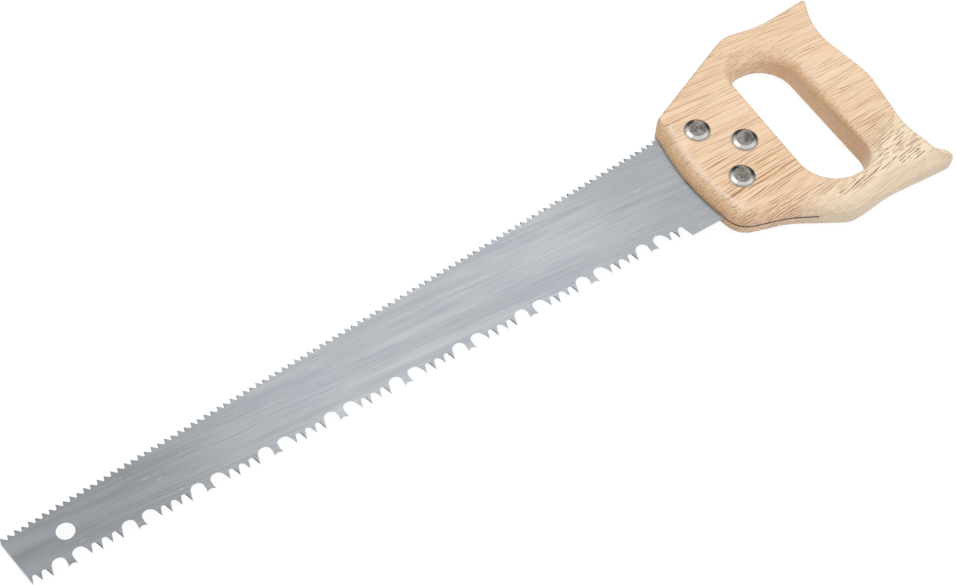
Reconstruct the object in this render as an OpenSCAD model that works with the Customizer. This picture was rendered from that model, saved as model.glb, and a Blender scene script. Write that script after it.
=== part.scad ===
// Two-edged orchard saw: a tapered steel blade with lance teeth on one edge and fine teeth
// on the other, held in the kerf of a one-piece wooden handle by three bolts and slotted nuts.
// The origin is the centre of the hang hole, in the middle of the blade's thickness.
// +X runs along the coarse tooth line from the toe to the handle, +Y towards the fine teeth,
// and +Z is square to the blade, towards the bolt heads.

/* [Blade] */
// Thickness of the steel plate
blade_t = 1.0; // [0.8:0.1:1.4]
// From the hang hole's centre to the front of the handle
blade_reach = 406; // [240:1:520]
// From the hang hole's centre to the toe, along the coarse tooth line's direction
toe_reach = 31; // [24:1:45]
// Lean of the toe edge away from square
toe_lean = 7.3; // [0:0.1:12]
// Height of the bevelled corner at the fine side of the toe
toe_corner = 3.5; // [2:0.5:6]
// How far the half tooth at the toe's coarse corner stops short of the other tips
toe_nick = 0.6; // [0:0.1:1.5]
// From the hang hole's centre to the tips of the coarse teeth
coarse_drop = 19.5; // [17:0.5:24]
// From the hang hole's centre to the tips of the fine teeth
fine_rise = 16.2; // [14:0.2:22]
// Angle between the two lines of tooth tips
taper = 3.95; // [2:0.05:4.5]
// Diameter of the hang hole
hang_hole_d = 10.4; // [6:0.2:14]
// Length of the tang behind the front of the handle
tang_len = 52; // [50:1:56]
// Size of the clipped corners at the end of the tang
tang_clip = 8; // [3:1:12]
// How far the plain edge at the heel stands out past the coarse tooth tips
heel_step = 2.4; // [0.5:0.1:4]
// From the last coarse tip to the start of the plain heel edge
heel_gap = 6.9; // [5:0.1:9]
// Run of the slope where the last gullet climbs to the heel edge
heel_run = 2.1; // [1:0.1:3]
// Shortest plain edge between the coarse teeth and the handle
heel_min = 10; // [5:1:16]

/* [Coarse teeth] */
// Length of one group: four cutters and a raker
group_pitch = 41.275; // [38:0.025:50]
// From the hang hole's centre back to the first raker's first tip
first_raker_x = -8.0; // [-10:0.5:-6]
// Width of a raker across its two tips
raker_w = 4.95; // [4:0.05:6]
// How much narrower a raker's waist is, each side
raker_waist = 0.4; // [0:0.05:0.8]
// Depth of the swallowtail between a raker's tips
raker_notch = 1.3; // [0.5:0.1:2]
// From a raker's first tip to the first cutter after it
cutter_lead = 14.0; // [12.5:0.05:14.5]
// Distance between the cutters of a group
cutter_pitch = 6.07; // [5.5:0.01:6.3]
// Half width of a cutter at its shoulder
cutter_half = 1.6; // [1:0.05:2]
// Depth of the cutters' straight flanks, from tip to shoulder
cutter_flank = 4.9; // [4:0.1:6]
// Depth of the round end of the gullets between cutters, past the shoulder
small_gullet = 1.1; // [0.6:0.1:2]
// Depth of the round end of the gullets beside a raker, past the shoulder
big_gullet = 3.3; // [2:0.1:4]
// How far a cutter's tip is set to its side
coarse_set = 0.45; // [0.2:0.05:0.6]
// Width of the bevel filed along a cutter's inner flanks
coarse_bevel = 0.55; // [0.2:0.05:0.8]

/* [Fine teeth] */
// Distance between fine teeth, six to the inch
fine_pitch = 4.2333; // [3.5:0.01:6]
// From the toe's fine corner to the first tip
fine_first = 1.1; // [0.8:0.1:2]
// Depth of a fine tooth, from tip to shoulder
fine_flank = 2.2; // [1.6:0.1:2.6]
// Run of a fine tooth's steep front, which faces the toe
fine_front = 0.7; // [0.3:0.05:1]
// Run of a fine tooth's sloping back
fine_back = 2.15; // [1.6:0.05:2.2]
// Depth of the round end of a fine gullet, past the shoulder
fine_gullet = 0.7; // [0.3:0.05:1]
// How far a fine tooth's tip is set to its side
fine_set = 0.3; // [0.1:0.05:0.5]
// Width of the bevel filed along a fine tooth's inner flanks
fine_bevel = 0.3; // [0.1:0.05:0.4]

/* [Handle] */
// Thickness of the handle
handle_t = 21; // [18:0.5:26]
// Radius rounded on the front edge and on the bottom edge in front
soft_edge = 8; // [5:0.5:8.5]
// Radius rounded on the bottom edge behind and on the lower horn
under_edge = 6; // [4:0.5:6]
// Radius rounded on the handle's top and rear edges
crisp_edge = 2.2; // [1:0.1:2.5]
// Radius rounded on the grip side of the hand opening
grip_edge = 6.5; // [4:0.5:8]
// Radius rounded on the top side of the hand opening
crown_edge = 8; // [4:0.5:8.5]
// Radius rounded on the blade side and the bottom of the hand opening
guard_edge = 2; // [1:0.1:3]
// From the front of the handle to the rear bulge of the grip
handle_len = 136.4; // [132:0.5:150]
// From the hang hole's line up to the handle's top edge
handle_up = 75; // [72:0.5:84]
// From the hang hole's line down to the handle's bottom edge
handle_down = 58.2; // [56:0.5:66]
// How far the upper horn stands out behind the upper waist
horn_top = 9.5; // [6:0.5:12]
// From the lower waist back to where the two sides of the lower horn would meet
horn_low = 20.6; // [18:0.2:23]
// From the front of the handle to the hand opening
guard_len = 61.8; // [60:0.2:66]
// Width of the hand opening at the handle's middle
opening_w = 40.2; // [38:0.1:42]
// Wood left above the hand opening
opening_above = 16; // [13:0.5:20]
// Wood left below the hand opening
opening_below = 16.4; // [14:0.2:20]
// Width of the kerf beside the blade, each side
kerf_gap = 0.1; // [0.05:0.05:0.3]
// From the end of the tang to the end of the kerf
kerf_end_gap = 1.6; // [0.5:0.1:3]

/* [Bolts and nuts] */
// Diameter of a bolt head's rim
head_d = 15.6; // [12:0.2:18]
// Diameter of the flat disc on a bolt head
head_disc_d = 10.4; // [8:0.2:11]
// Height of a bolt head
head_h = 2.0; // [1.4:0.1:3]
// Thickness of a bolt head's rim
rim_h = 0.6; // [0.4:0.1:1]
// Width of the flat ledge on a bolt head's rim
ledge_w = 0.5; // [0.2:0.1:0.8]
// Fall of that ledge towards its outside
ledge_fall = 0.15; // [0:0.05:0.3]
// Diameter of a bolt's shank
shank_d = 4.8; // [4:0.1:5]
// Outside diameter of a nut's barrel
barrel_d = 6.6; // [6.2:0.1:7.4]
// Diameter of a nut's head
nut_d = 13.0; // [11:0.2:16]
// Height of a nut's head
nut_h = 1.8; // [1.6:0.1:2.6]
// Bevel round a nut's head
nut_bevel = 0.8; // [0.3:0.1:1.2]
// Width of the screwdriver slot in a nut
slot_w = 1.6; // [1:0.1:2]
// Depth of the screwdriver slot in a nut
slot_d = 1.0; // [0.6:0.1:1.2]
// Gap round a shank or barrel in its hole
hole_gap = 0.2; // [0.1:0.05:0.4]
// Gap between a bolt's thread and its nut
thread_gap = 0.05; // [0.03:0.01:0.08]
// Gap between a barrel's end and the blade
barrel_end_gap = 1.5; // [0.5:0.1:3]
// Gap between a bolt's end and the closed end of its nut
bolt_end_gap = 1.0; // [0.5:0.1:2]
// Upper bolt, back from the handle's front
upper_bolt_back = 23.9; // [18:0.1:30]
// Upper bolt, up from the hang hole's line
upper_bolt_up = 30.9; // [27:0.1:34]
// Rear bolt, back from the handle's front
rear_bolt_back = 43.6; // [38:0.1:46]
// Rear bolt, up from the hang hole's line
rear_bolt_up = 10.9; // [7:0.1:15]
// Lower bolt, back from the handle's front
lower_bolt_back = 27.1; // [22:0.1:31]
// Lower bolt, up from the hang hole's line
lower_bolt_up = -9.1; // [-13:0.1:-6]

/* [Hidden] */

steel = [0.66, 0.68, 0.71];
nickel = [0.74, 0.74, 0.72];
pale_wood = [0.87, 0.73, 0.54];

// How finely curves are divided: degrees and millimetres along an outline, degrees round
// an edge, and sides of a gullet's round end
arc_step = 12;
chord_max = 6;
edge_step = 22.5;
big_gullet_steps = 8;
small_gullet_steps = 6;
fine_gullet_steps = 4;
notch_steps = 4;

// Wood or steel that a cutting solid goes past the surface it cuts
past = 1;
// How far a rounded edge's last facets run past the handle's face, as a share of their width
overrun = 0.25;
// Plate left between the deepest gullet and the seam of its strip of teeth
seam_margin = 1.5;

// Lines of the blade's two edges
coarse_y = -coarse_drop;
heel_y = coarse_y - heel_step;
function toe_x(y) = -toe_reach - y * tan(toe_lean);
function fine_y(x) = fine_rise + x * tan(taper);

// Corners of the toe: one on the coarse tooth line, and two at the bevelled fine side
fine_corner_y = fine_y(-toe_reach) - toe_corner;
fine_corner = [toe_x(fine_corner_y), fine_corner_y];
fine_along = [cos(taper), sin(taper)];
fine_inward = [sin(taper), -cos(taper)];
fine_start = [fine_corner[0] + fine_first, fine_y(fine_corner[0] + fine_first)];

// How many fine teeth fit as far as the handle, and how many rakers as far as the heel
fine_room = blade_reach + fine_flank - fine_start[0];
fine_count = floor(fine_room / (fine_pitch * fine_along[0])) + 1;
heel_lead = cutter_lead + cutter_pitch + heel_gap;
raker_room = blade_reach - heel_min - heel_lead - first_raker_x;
raker_count = floor(raker_room / group_pitch) + 1;
heel_x = first_raker_x + (raker_count - 1) * group_pitch + heel_lead;
tang_x = blade_reach + tang_len;

// Where the toothed strips meet the plate, on hundredths of a millimetre, so that the three
// meet exactly
function snapped(p) = [round(p[0] * 100) / 100, round(p[1] * 100) / 100];

// A point of the blade's outline: place on the top face, place on the bottom face, how far
// both are set out of the plate, whether it is a tooth's tip, and the place on the seam from
// which the flat faces fan out to it. All points of one tooth share that place.
function plain(p, root) = [p, p, [0, 0], false, root];

// One set and bevelled tooth, from foot to foot. The face on the set side keeps the full
// tooth, and the other face is narrower by the bevel. along and inward are unit vectors.
function tooth(tip, along, inward, front, back, flank, bevel, lean, root) =
    let (
        foot = tip - along * front + inward * flank,
        heel = tip + along * back + inward * flank,
        foot_in = foot + along * bevel,
        heel_in = heel - along * bevel,
        tip_depth = bevel * 2 * flank / (front + back),
        tip_in = tip + inward * tip_depth + along * (back - front) * tip_depth / (2 * flank),
        set_in = lean * (1 - tip_depth / flank),
        up = lean >= 0
    )
    [
        [up ? foot : foot_in, up ? foot_in : foot, [0, 0], false, root],
        [up ? tip : tip_in, up ? tip_in : tip, up ? [lean, set_in] : [set_in, lean], true, root],
        [up ? heel : heel_in, up ? heel_in : heel, [0, 0], false, root]
    ];

// Round end of a gullet: half an ellipse between two feet, without the feet themselves. Its
// first half belongs to the tooth before it, and the rest to the tooth after it.
function gullet(from, to, inward, depth, steps, root_before, root_after) =
    let (mid = (from + to) / 2, arm = (from - to) / 2)
    [for (i = [1 : steps - 1])
        plain(mid + arm * cos(180 * i / steps) + inward * depth * sin(180 * i / steps),
            2 * i < steps ? root_before : root_after)];

// Fine edge, from the toe to the handle. The last tooth stands in the kerf's mouth, and is
// neither set nor filed.
function fine_tip(i) = fine_start + fine_along * fine_pitch * i;
function fine_lean(i) = i == fine_count - 1 ? 0 : (i % 2 == 0 ? 1 : -1) * fine_set;
function fine_filed(i) = i == fine_count - 1 ? 0 : fine_bevel;
fine_seam = fine_flank + fine_gullet + seam_margin;
function fine_root(i) = snapped(fine_tip(i) + fine_along * (fine_back - fine_front) / 2
    + fine_inward * fine_seam);
function fine_tooth(i) =
    concat(
        tooth(fine_tip(i), fine_along, fine_inward, fine_front, fine_back,
            fine_flank, fine_filed(i), fine_lean(i), fine_root(i)),
        i == fine_count - 1 ? [] : gullet(
            fine_tip(i) + fine_along * fine_back + fine_inward * fine_flank,
            fine_tip(i + 1) - fine_along * fine_front + fine_inward * fine_flank,
            fine_inward, fine_gullet, fine_gullet_steps, fine_root(i), fine_root(i + 1))
    );
fine_edge = [for (i = [0 : fine_count - 1]) each fine_tooth(i)];

// Coarse edge, worked out from the toe to the heel and then turned round
along_x = [1, 0];
up_y = [0, 1];
shoulder_y = coarse_y + cutter_flank;
coarse_seam_y = shoulder_y + big_gullet + seam_margin;
function raker_x(g) = first_raker_x + g * group_pitch;
function cutter_x(g, i) = raker_x(g) + cutter_lead + i * cutter_pitch;
function cutter_lean(g, i) = ((g * 4 + i) % 2 == 0 ? 1 : -1) * coarse_set;
function cutter_root(g, i) = snapped([cutter_x(g, i), coarse_seam_y]);
function raker_root(g) = snapped([raker_x(g) + raker_w / 2, coarse_seam_y]);
function cutter(g, i) =
    tooth([cutter_x(g, i), coarse_y], along_x, up_y, cutter_half, cutter_half,
        cutter_flank, coarse_bevel, cutter_lean(g, i), cutter_root(g, i));
function cutter_gullet(g, i) =
    gullet([cutter_x(g, i) + cutter_half, shoulder_y],
        [cutter_x(g, i + 1) - cutter_half, shoulder_y], up_y, small_gullet, small_gullet_steps,
        cutter_root(g, i), cutter_root(g, i + 1));
function raker(x, root) =
    let (
        waist = coarse_y + cutter_flank / 2,
        left = x + raker_waist,
        right = x + raker_w - raker_waist
    )
    concat(
        [for (p = [[left, shoulder_y], [left, waist], [x, coarse_y]]) plain(p, root)],
        gullet([x, coarse_y], [x + raker_w, coarse_y], up_y, raker_notch, notch_steps,
            root, root),
        [for (p = [[x + raker_w, coarse_y], [right, waist], [right, shoulder_y]])
            plain(p, root)]
    );
function gullet_before(g) =
    gullet([cutter_x(g - 1, 3) + cutter_half, shoulder_y],
        [raker_x(g) + raker_waist, shoulder_y], up_y, big_gullet, big_gullet_steps,
        cutter_root(g - 1, 3), raker_root(g));
function gullet_after(g) =
    gullet([raker_x(g) + raker_w - raker_waist, shoulder_y],
        [cutter_x(g, 0) - cutter_half, shoulder_y], up_y, big_gullet, big_gullet_steps,
        raker_root(g), cutter_root(g, 0));
function group(g, cutters) =
    concat(
        gullet_before(g),
        raker(raker_x(g), raker_root(g)),
        gullet_after(g),
        [for (i = [0 : cutters - 1]) each concat(cutter(g, i),
            i == cutters - 1 ? [] : cutter_gullet(g, i))]
    );

// The toe cuts through the group before the first raker, and its corner is half a cutter
toe_tooth_x = toe_x(coarse_y);
toe_root = snapped([toe_x(coarse_seam_y), coarse_seam_y]);
toe_teeth = concat(
    [plain([toe_tooth_x, coarse_y + toe_nick], toe_root),
        plain([toe_tooth_x + cutter_half, shoulder_y], toe_root)],
    gullet([toe_tooth_x + cutter_half, shoulder_y],
        [cutter_x(-1, 2) - cutter_half, shoulder_y], up_y, small_gullet, small_gullet_steps,
        toe_root, cutter_root(-1, 2)),
    cutter(-1, 2),
    cutter_gullet(-1, 2),
    cutter(-1, 3)
);

// The last group has two cutters, and its last gullet runs out to the plain heel edge
last = raker_count - 1;
heel_root = snapped([heel_x, coarse_seam_y]);
heel_corner = snapped([heel_x, heel_y]);
heel_gullet = concat(
    gullet([cutter_x(last, 1) + cutter_half, shoulder_y],
        [heel_x - heel_run, shoulder_y], up_y, small_gullet, small_gullet_steps,
        cutter_root(last, 1), heel_root),
    [plain([heel_x - heel_run, shoulder_y], heel_root), plain(heel_corner, heel_root)]
);
coarse_edge = concat(
    toe_teeth,
    [for (g = [0 : last]) each group(g, g == last ? 2 : 4)],
    heel_gullet
);

// The teeth stand on two strips, and the plain plate between them carries the bores
function fine_seam_y(x) = fine_y(x) - fine_seam / fine_along[0];
fine_toe_y = fine_seam_y(-toe_reach) / (1 + tan(toe_lean) * tan(taper));
fine_toe_root = snapped([toe_x(fine_toe_y), fine_toe_y]);
fine_end = fine_tip(fine_count - 1) + fine_along * (fine_back + fine_flank)
    + fine_inward * fine_flank;
fine_end_corner = snapped(fine_end);
fine_end_root = snapped([fine_end[0], fine_seam_y(fine_end[0])]);
fine_strip = concat(
    [plain(fine_corner, fine_toe_root)],
    fine_edge,
    [plain(fine_end_corner, fine_end_root)]
);
coarse_strip = [for (i = [len(coarse_edge) - 1 : -1 : 0]) coarse_edge[i]];
function seam_places(edge_points) =
    [for (i = [0 : len(edge_points) - 1])
        if (i == 0 || edge_points[i][4] != edge_points[i - 1][4]) edge_points[i][4]];
function tang_y(x) = fine_y(x) - fine_flank / fine_along[0];
plate_outline = concat(
    seam_places(fine_strip),
    [
        fine_end_corner,
        [tang_x - tang_clip, tang_y(tang_x - tang_clip)],
        [tang_x, tang_y(tang_x) - tang_clip],
        [tang_x, heel_y + tang_clip],
        [tang_x - tang_clip, heel_y],
        heel_corner
    ],
    seam_places(coarse_strip)
);

// A strip of teeth from its toothed edge, clockwise seen from +Z. Its flat faces fan out
// from the teeth's places on the seam.
module toothed_strip(edge_points) {
    n = len(edge_points);
    roots = seam_places(edge_points);
    m = len(roots);
    root_of = [for (p = edge_points) 2 * n + search([p[4]], roots)[0]];
    flat = [for (i = [0 : n - 1]) if (!edge_points[i][3]) i];
    tips = [for (i = [0 : n - 1]) if (edge_points[i][3]) i];
    pairs = [for (k = [0 : len(flat) - 2]) [flat[k], flat[k + 1]]];
    fans = concat(
        [for (s = pairs) [root_of[s[0]], s[0], s[1]]],
        [for (s = pairs) if (root_of[s[0]] != root_of[s[1]])
            [root_of[s[0]], s[1], root_of[s[1]]]]
    );
    lower = [for (t = fans) [for (i = [2 : -1 : 0]) t[i] + (t[i] < 2 * n ? n : m)]];
    ring = concat([for (i = [0 : n - 1]) i], [for (k = [m - 1 : -1 : 0]) 2 * n + k]);
    under = [for (i = ring) i + (i < 2 * n ? n : m)];
    r = len(ring);
    polyhedron(
        points = concat(
            [for (p = edge_points)
                [p[0][0], p[0][1], blade_t / 2 + (p[3] ? p[2][0] : 0)]],
            [for (p = edge_points)
                [p[1][0], p[1][1], -blade_t / 2 + (p[3] ? p[2][1] : 0)]],
            [for (p = roots) [p[0], p[1], blade_t / 2]],
            [for (p = roots) [p[0], p[1], -blade_t / 2]]
        ),
        faces = concat(
            fans,
            lower,
            [for (i = tips) [i - 1, i, i + 1]],
            [for (i = tips) [i + 1 + n, i + n, i - 1 + n]],
            [for (i = [0 : r - 1]) [ring[i], under[i], ring[(i + 1) % r]]],
            [for (i = [0 : r - 1]) [ring[(i + 1) % r], under[i], under[(i + 1) % r]]]
        ),
        convexity = 20
    );
}

// Rounded outlines. A corner is [x, y, radius of the corner, edge there, edge where the arc
// ends], and the last may be left out. An edge is [how far it rounds in from the outline,
// how far down from the face].
function edge(r) = [r, r];
function flat_of(c) = [c[0], c[1]];
function unit(v) = v / norm(v);
function turn(a) = a > 180 ? a - 360 : (a < -180 ? a + 360 : a);
function corner_arc(before, c, after) =
    let (
        u = unit(flat_of(before) - flat_of(c)),
        v = unit(flat_of(after) - flat_of(c)),
        half = acos(u * v) / 2,
        centre = flat_of(c) + unit(u + v) * c[2] / sin(half),
        start = flat_of(c) + u * c[2] / tan(half) - centre,
        stop = flat_of(c) + v * c[2] / tan(half) - centre,
        from = atan2(start[1], start[0]),
        sweep = turn(atan2(stop[1], stop[0]) - from),
        arc_len = c[2] * abs(sweep) * PI / 180,
        steps = max(2, ceil(abs(sweep) / arc_step), ceil(arc_len / chord_max)),
        edge_end = len(c) > 4 ? c[4] : c[3]
    )
    [for (i = [0 : steps])
        let (a = from + sweep * i / steps)
        [
            centre[0] + c[2] * cos(a),
            centre[1] + c[2] * sin(a),
            c[3] + (edge_end - c[3]) * i / steps
        ]];
function rounded(corners) =
    let (n = len(corners))
    [for (i = [0 : n - 1])
        each corner_arc(corners[(i + n - 1) % n], corners[i], corners[(i + 1) % n])];

// Outward step at each point of an anticlockwise outline, mitred between its two sides
function side_normal(a, b) = let (d = unit(flat_of(b) - flat_of(a))) [d[1], -d[0]];
function outward(line) =
    let (n = len(line))
    [for (i = [0 : n - 1])
        let (
            p = side_normal(line[(i + n - 1) % n], line[i]),
            q = side_normal(line[i], line[(i + 1) % n])
        )
        (p + q) / (1 + p * q)];

// One ring of an outline, moved out by a share of each point's edge
function ring(line, normals, share, top, z_share) =
    [for (i = [0 : len(line) - 1])
        [
            line[i][0] + normals[i][0] * line[i][2][0] * share,
            line[i][1] + normals[i][1] * line[i][2][0] * share,
            (top ? 1 : -1) * (handle_t / 2 - line[i][2][1] * z_share)
        ]];

// Stacks rings from the bottom up and closes both ends
module stack(rings) {
    n = len(rings[0]);
    m = len(rings);
    polyhedron(
        points = [for (r = rings) each r],
        faces = concat(
            [[for (i = [0 : n - 1]) i]],
            [[for (i = [n - 1 : -1 : 0]) (m - 1) * n + i]],
            [for (k = [0 : m - 2]) for (i = [0 : n - 1])
                [k * n + i, (k + 1) * n + i, (k + 1) * n + (i + 1) % n]],
            [for (k = [0 : m - 2]) for (i = [0 : n - 1])
                [k * n + i, (k + 1) * n + (i + 1) % n, k * n + (i + 1) % n]]
        ),
        convexity = 10
    );
}

// Handle outline, anticlockwise from the lower front corner. x runs back from the front of
// the handle, and y is measured from the hang hole's line.
grip_x = handle_len;
low_waist_x = grip_x - 5.9;
top_waist_x = grip_x - 8.7;
soft = edge(soft_edge);
under = edge(under_edge);
crisp = edge(crisp_edge);
horn_tip_edge = [1.9, under_edge + 2];
handle_corners = [
    [9.2, 25.2 - handle_down, 16, soft],
    [39.5, 16 - handle_down, 60, soft],
    [71, -handle_down - 1.4, 17, soft, under],
    [104.5, -handle_down, 100, under],
    [low_waist_x + 6.5, -handle_down - 1.6, 60, under * 0.85],
    [low_waist_x + horn_low, -handle_down - 2.1, 2.4, horn_tip_edge, crisp * 0.8],
    [low_waist_x + 7.7, 7.2 - handle_down, 14, crisp],
    [low_waist_x, 23.8 - handle_down, 50, crisp],
    [grip_x, 12.5, 40, crisp],
    [top_waist_x, handle_up - 20, 45, crisp],
    [top_waist_x + horn_top, handle_up + 2.3, 1.6, crisp * 0.55],
    [grip_x - 35, handle_up, 80, crisp],
    [77, handle_up + 4.6, 22, crisp],
    [40, handle_up - 11.5, 150, crisp],
    [6.4, handle_up - 26, 8.5, crisp, soft],
    [0, 8.5, 140, soft]
];

// Hand opening, anticlockwise from its lower blade side
opening_x = guard_len + opening_w;
opening_top = handle_up - opening_above;
opening_low = -handle_down + opening_below;
grip = edge(grip_edge);
crown = edge(crown_edge);
guard = edge(guard_edge);
opening_corners = [
    [guard_len, opening_low, 24, guard],
    [opening_x + 1, opening_low, 15, grip * 0.6, grip],
    [opening_x - 2, opening_top - 2, 21, grip, crown],
    [guard_len, opening_top + 1, 15, crown, guard]
];

// A block with rounded edges round a closed outline. way is -1 where the edges round inwards
// to the faces, and 1 where they open outwards. The last facets run on a little past the
// faces, and then the sides go straight out.
module soft_block(corners, way) {
    line = rounded(corners);
    out = outward(line);
    last_a = 90 - edge_step;
    low = [for (a = [last_a : -edge_step : 0])
        ring(line, out, way * (1 - cos(a)), false, 1 - sin(a))];
    high = [for (a = [0 : edge_step : last_a])
        ring(line, out, way * (1 - cos(a)), true, 1 - sin(a))];
    beyond = way * (1 + overrun * cos(last_a));
    rise = overrun * (sin(last_a) - 1);
    below = ring(line, out, beyond, false, rise);
    above = ring(line, out, beyond, true, rise);
    first = [for (p = below) [p[0], p[1], -handle_t / 2 - past]];
    final = [for (p = above) [p[0], p[1], handle_t / 2 + past]];
    stack(concat([first, below], low, high, [above, final]));
}

// The handle's two flat faces are the faces of one slab, which the soft block is cut down to
module handle_body() {
    intersection() {
        soft_block(handle_corners, -1);
        translate([-handle_t, -2 * handle_down, -handle_t / 2])
            cube([2 * handle_len, 2 * (handle_up + handle_down), handle_t]);
    }
}

module hand_opening() {
    soft_block(opening_corners, 1);
}

// Places of the three bolts, in the blade's frame
upper_bolt_at = [blade_reach + upper_bolt_back, upper_bolt_up];
rear_bolt_at = [blade_reach + rear_bolt_back, rear_bolt_up];
lower_bolt_at = [blade_reach + lower_bolt_back, lower_bolt_up];
bolt_places = [upper_bolt_at, rear_bolt_at, lower_bolt_at];
barrel_top = -blade_t / 2 - barrel_end_gap;
nut_floor = -handle_t / 2;
head_floor = handle_t / 2;
shank_hole_d = shank_d + 2 * hole_gap;
barrel_hole_d = barrel_d + 2 * hole_gap;

module plate() {
    difference() {
        linear_extrude(blade_t, center = true)
            polygon(plate_outline);
        cylinder(d = hang_hole_d, h = blade_t + 2 * past, center = true, $fn = 64);
        for (p = bolt_places)
            translate([p[0], p[1], 0])
                cylinder(d = shank_hole_d, h = blade_t + 2 * past, center = true, $fn = 48);
    }
}

module blade() {
    color(steel) {
        plate();
        toothed_strip(fine_strip);
        toothed_strip(coarse_strip);
    }
}

module handle() {
    kerf_t = blade_t + 2 * kerf_gap;
    kerf_len = tang_len + kerf_end_gap;
    hole_h = handle_t / 2 + past;
    color(pale_wood)
    difference() {
        translate([blade_reach, 0, 0])
            difference() {
                handle_body();
                hand_opening();
            }
        translate([blade_reach - past, -handle_t - handle_down, -kerf_t / 2])
            cube([kerf_len + past, handle_up + handle_down + 2 * handle_t, kerf_t]);
        for (p = bolt_places) {
            translate([p[0], p[1], 0])
                cylinder(d = shank_hole_d, h = hole_h, $fn = 48);
            translate([p[0], p[1], -hole_h])
                cylinder(d = barrel_hole_d, h = hole_h, $fn = 48);
        }
    }
}

// Bolt with a bevelled head whose middle is a flat disc, and a plain shank
module bolt(at) {
    shank_end = nut_floor + bolt_end_gap;
    translate([at[0], at[1], 0])
        color(nickel)
        rotate_extrude($fn = 64)
            polygon([
                [0, shank_end],
                [shank_d / 2, shank_end],
                [shank_d / 2, head_floor],
                [head_d / 2, head_floor],
                [head_d / 2, head_floor + rim_h],
                [head_d / 2 - ledge_w, head_floor + rim_h + ledge_fall],
                [head_disc_d / 2, head_floor + head_h],
                [0, head_floor + head_h]
            ]);
}

// Slotted nut: a flat head on the back of the handle, and a bored barrel that takes the bolt
module nut(at, slot_turn) {
    bore = shank_d / 2 + thread_gap;
    translate([at[0], at[1], 0])
        color(nickel)
        difference() {
            rotate_extrude($fn = 64)
                polygon([
                    [0, nut_floor - nut_h],
                    [nut_d / 2 - nut_bevel, nut_floor - nut_h],
                    [nut_d / 2, nut_floor - nut_h + nut_bevel],
                    [nut_d / 2, nut_floor],
                    [barrel_d / 2, nut_floor],
                    [barrel_d / 2, barrel_top],
                    [bore, barrel_top],
                    [bore, nut_floor],
                    [0, nut_floor]
                ]);
            rotate([0, 0, slot_turn])
                translate([-nut_d, -slot_w / 2, nut_floor - nut_h - past])
                cube([2 * nut_d, slot_w, slot_d + past]);
        }
}

module upper_bolt() { bolt(upper_bolt_at); }
module rear_bolt() { bolt(rear_bolt_at); }
module lower_bolt() { bolt(lower_bolt_at); }
module upper_nut() { nut(upper_bolt_at, 20); }
module rear_nut() { nut(rear_bolt_at, 75); }
module lower_nut() { nut(lower_bolt_at, -35); }

blade();
handle();
upper_bolt();
rear_bolt();
lower_bolt();
upper_nut();
rear_nut();
lower_nut();
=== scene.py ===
"""Looks of a two-edged orchard saw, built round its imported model.

Everything is in metres in the model's own frame: the origin is the centre of the hang hole in
the middle of the blade, +X runs along the coarse teeth to the handle, +Y towards the fine
teeth, and +Z square to the blade, towards the bolt heads.
"""

import math

import bmesh
import bpy
import numpy as np
from mathutils import Matrix, Vector


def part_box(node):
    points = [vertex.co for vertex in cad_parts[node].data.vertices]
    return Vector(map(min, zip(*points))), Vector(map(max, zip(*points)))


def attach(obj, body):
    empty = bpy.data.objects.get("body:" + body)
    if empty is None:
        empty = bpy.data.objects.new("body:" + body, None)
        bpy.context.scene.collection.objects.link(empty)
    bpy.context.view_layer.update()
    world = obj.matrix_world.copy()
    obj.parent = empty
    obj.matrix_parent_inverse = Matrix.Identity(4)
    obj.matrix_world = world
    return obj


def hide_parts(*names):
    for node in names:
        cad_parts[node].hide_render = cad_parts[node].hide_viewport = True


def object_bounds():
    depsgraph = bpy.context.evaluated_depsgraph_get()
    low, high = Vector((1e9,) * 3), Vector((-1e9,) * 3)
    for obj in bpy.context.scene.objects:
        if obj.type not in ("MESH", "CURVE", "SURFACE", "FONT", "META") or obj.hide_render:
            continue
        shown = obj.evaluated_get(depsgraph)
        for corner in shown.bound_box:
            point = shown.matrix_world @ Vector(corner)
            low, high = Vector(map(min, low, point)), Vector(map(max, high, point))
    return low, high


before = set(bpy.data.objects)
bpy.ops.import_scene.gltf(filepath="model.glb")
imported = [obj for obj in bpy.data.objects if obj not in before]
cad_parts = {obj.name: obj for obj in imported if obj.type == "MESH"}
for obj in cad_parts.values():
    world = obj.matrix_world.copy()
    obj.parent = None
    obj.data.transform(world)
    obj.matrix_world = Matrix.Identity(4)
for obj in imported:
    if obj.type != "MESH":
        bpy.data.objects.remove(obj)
cad_low, cad_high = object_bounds()
mm = 0.001

# Camera
# A long lens above the toe side of the saw looks down at the flat of the blade, so that the
# saw runs up across the picture from the toe at lower left to the handle at upper right.
camera_data = bpy.data.cameras.new("camera")
camera_data.sensor_width = 36
camera_data.lens = 90.11
camera_data.clip_start = 0.1
camera_data.clip_end = 20
camera_at = Vector((-0.15177, -0.57027, 1.13803))
aim_at = Vector((0.26467, 0.01017, 0))
camera_roll = math.radians(3.3)
camera = bpy.data.objects.new("camera", camera_data)
bpy.context.scene.collection.objects.link(camera)
looking = (aim_at - camera_at).to_track_quat("-Z", "Y").to_matrix().to_4x4()
camera.matrix_world = (
    Matrix.Translation(camera_at) @ looking @ Matrix.Rotation(camera_roll, 4, "Z")
)
bpy.context.scene.camera = camera


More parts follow.
